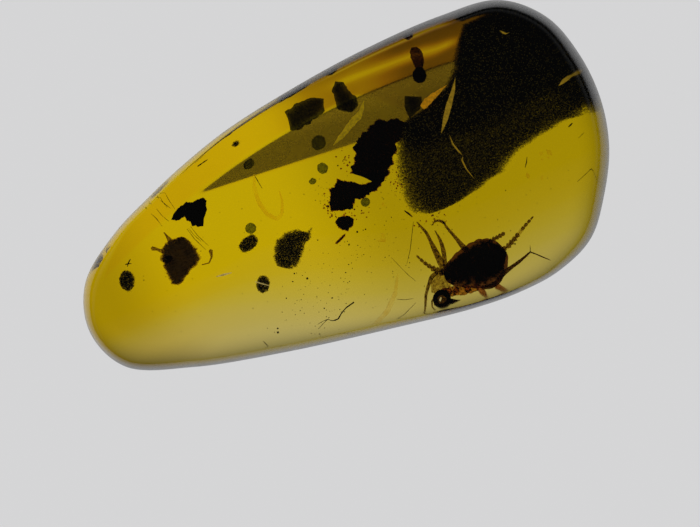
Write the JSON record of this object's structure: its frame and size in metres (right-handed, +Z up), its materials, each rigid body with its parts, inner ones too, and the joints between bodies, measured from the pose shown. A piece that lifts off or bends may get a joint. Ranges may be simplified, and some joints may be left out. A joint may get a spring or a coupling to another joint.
{
  "type": "insect in amber",
  "caption": "Polished freeform pebble of clear yellow amber lying flat, with a small roach-like insect and scraps of bark, wood and leaf sealed inside.",
  "frame": {"origin": "middle of the flat ground base, below the centre of the pebble's outline box", "axes": "+X along the pebble to its broad end, +Y across it towards the flank with the step below, +Z up from the base"},
  "size_m": [0.028, 0.0142, 0.0064],
  "materials": {
    "amber": "polished clear yellow fossil resin, see-through",
    "cuticle": "dark reddish-brown chitin, glossy",
    "bark": "matte crumbly black-green bark and soil",
    "wood": "matte ragged dark brown wood",
    "charred": "matte black carbonised scrap",
    "leaf": "matte brown leaf or bud scale",
    "frass": "stippled grey-green pellet"
  },
  "bodies": {
    "root": {"amber_top": "amber", "amber_base": "amber", "insect": "cuticle", "bark_crust": "bark", "wood_fragment": "wood", "wood_crumb": "wood", "wood_splinter": "wood", "black_flake": "charred", "black_drop": "charred", "brown_flake": "leaf", "edge_clot_left": "leaf", "edge_clot_right": "leaf", "root_thread": "leaf", "pear_flake": "frass", "pellet_left": "frass", "pellet_upper": "frass", "pellet_lower": "frass", "pellet_high": "frass", "spore_near_rim": "frass", "red_speck": "cuticle"}
  },
  "joints": []
}
